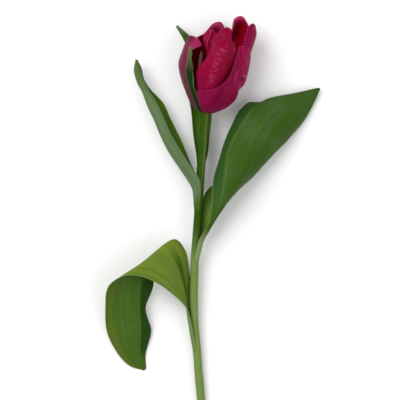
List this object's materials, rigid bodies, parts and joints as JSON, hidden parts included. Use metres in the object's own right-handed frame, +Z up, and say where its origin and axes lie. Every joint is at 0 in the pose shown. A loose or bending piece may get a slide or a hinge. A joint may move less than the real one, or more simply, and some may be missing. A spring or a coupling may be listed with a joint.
{
  "type": "parrot tulip",
  "caption": "Cut tulip lying on its side: a round stem, four clasping leaves and a cupped bloom of overlapping petals with pistil and stamens inside.",
  "frame": {"origin": "middle of the flower's footprint, on the surface it lies on", "axes": "+Y along the stem from the cut end to the bloom, +X to the right seen from above, +Z up from the surface"},
  "size_m": [0.1822, 0.3655, 0.0549],
  "materials": {
    "stem": "fresh green stalk with a faint wax bloom",
    "leaf": "smooth green leaf with parallel veins and a wax bloom",
    "petal_outer": "satin purple-crimson petal, finely striped lengthwise",
    "petal_inner": "glossy deep crimson petal, finely striped lengthwise",
    "pistil": "pale green ovary and stigma",
    "stamen": "brown mealy anther on a slim filament"
  },
  "bodies": {
    "root": {"stem": "stem", "bract_leaf": "leaf", "left_leaf": "leaf", "right_leaf": "leaf", "drooping_leaf": "leaf", "outer_left_petal": "petal_outer", "outer_front_petal": "petal_outer", "outer_back_petal": "petal_outer", "inner_front_petal": "petal_inner", "inner_right_petal": "petal_inner", "inner_back_petal": "petal_inner", "pistil": "pistil", "stamen_1": "stamen", "stamen_2": "stamen", "stamen_3": "stamen", "stamen_4": "stamen", "stamen_5": "stamen", "stamen_6": "stamen"}
  },
  "joints": []
}
